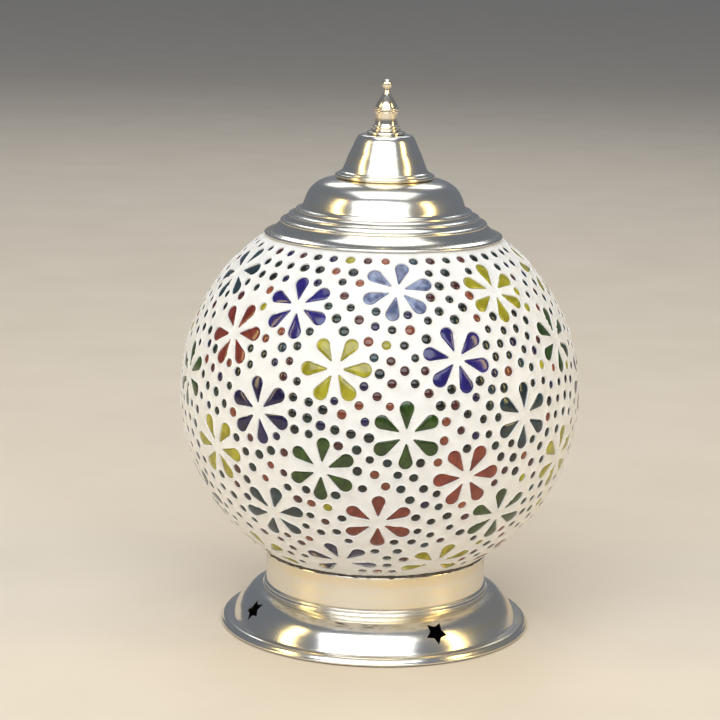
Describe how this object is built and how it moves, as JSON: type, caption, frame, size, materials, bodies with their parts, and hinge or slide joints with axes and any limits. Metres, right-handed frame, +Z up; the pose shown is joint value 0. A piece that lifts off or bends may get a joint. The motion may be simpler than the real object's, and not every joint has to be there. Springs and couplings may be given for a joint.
{
  "type": "mosaic glass table lamp",
  "caption": "Table lamp: a round glass globe set with glass flower petals and beads in plaster, on a spun metal base, under a lift-off metal cap with a turned finial.",
  "frame": {"origin": "centre of the foot, on the table", "axes": "+Z up along the lamp's axis; the front of the mosaic faces -Y"},
  "size_m": [0.2005, 0.2005, 0.2765],
  "materials": {
    "plated_brass": "polished, silver plated, brass showing on the edges",
    "turned_brass": "polished",
    "brass_contact": "bright",
    "zinc_steel": "zinc plated",
    "tin_steel": "pressed sheet",
    "felt": "felt",
    "rubber": "soft",
    "cement": "rough",
    "porcelain": "glazed",
    "black_insulator": "gloss",
    "bulb_glass": "clear",
    "filament": "phosphor coat",
    "bulb_cap_metal": "nickel plated",
    "globe_glass": "clear blown",
    "plaster": "matt, hand smoothed",
    "glass_teal": "gloss, hand ground",
    "glass_royal": "gloss, hand ground",
    "glass_smoke": "gloss, hand ground",
    "glass_olive": "gloss, hand ground",
    "glass_red": "gloss, hand ground",
    "glass_green": "gloss, hand ground",
    "glass_navy": "gloss, hand ground",
    "glass_black": "gloss, hand ground",
    "glass_bottle": "gloss, hand ground",
    "glass_maroon": "gloss, hand ground",
    "glass_rust": "gloss, hand ground"
  },
  "bodies": {
    "lamp": {"base_shell": "plated_brass", "beads_black": "glass_black", "beads_bottle": "glass_bottle", "beads_maroon": "glass_maroon", "beads_navy": "glass_navy", "beads_olive": "glass_olive", "beads_rust": "glass_rust", "beads_teal": "glass_teal", "bottom_cover": "tin_steel", "cement_ring": "cement", "centre_contact": "brass_contact", "cord_grommet": "rubber", "earth_terminal": "brass_contact", "felt_ring": "felt", "glass_globe": "globe_glass", "globe_collar": "plated_brass", "holder_cap": "black_insulator", "holder_core": "porcelain", "holder_sleeve": "black_insulator", "lamp_nipple": "zinc_steel", "mosaic_plaster": "plaster", "nipple_nuts": "zinc_steel", "nipple_washer": "zinc_steel", "petals_green": "glass_green", "petals_navy": "glass_navy", "petals_olive": "glass_olive", "petals_red": "glass_red", "petals_royal": "glass_royal", "petals_smoke": "glass_smoke", "petals_teal": "glass_teal", "screw_contact": "brass_contact", "seat_pan": "tin_steel", "terminal_screws": "brass_contact"},
    "bulb": {"bulb_contact": "bulb_cap_metal", "bulb_filaments": "filament", "bulb_glass": "bulb_glass", "bulb_insulator": "black_insulator", "bulb_screw_cap": "bulb_cap_metal", "bulb_stem": "bulb_glass"},
    "cap": {"cap_skirt": "plated_brass", "cap_ring": "tin_steel", "cap_bell": "plated_brass", "finial_washer": "turned_brass", "finial_stud": "zinc_steel", "stud_washer": "zinc_steel", "stud_nut": "zinc_steel"},
    "finial": {"finial": "turned_brass"}
  },
  "joints": [
    {"name": "cap_lift", "type": "slide", "parent": "lamp", "child": "cap", "axis": [0, 0, 1], "range_m": [0, 0.06]},
    {"name": "bulb_unscrew", "type": "slide", "parent": "lamp", "child": "bulb", "axis": [0, 0, 1], "range_m": [0, 0.028]},
    {"name": "finial_turn", "type": "hinge", "parent": "cap", "child": "finial", "pos_m": [0, 0, 0.256], "axis": [0, 0, 1], "continuous": true}
  ]
}
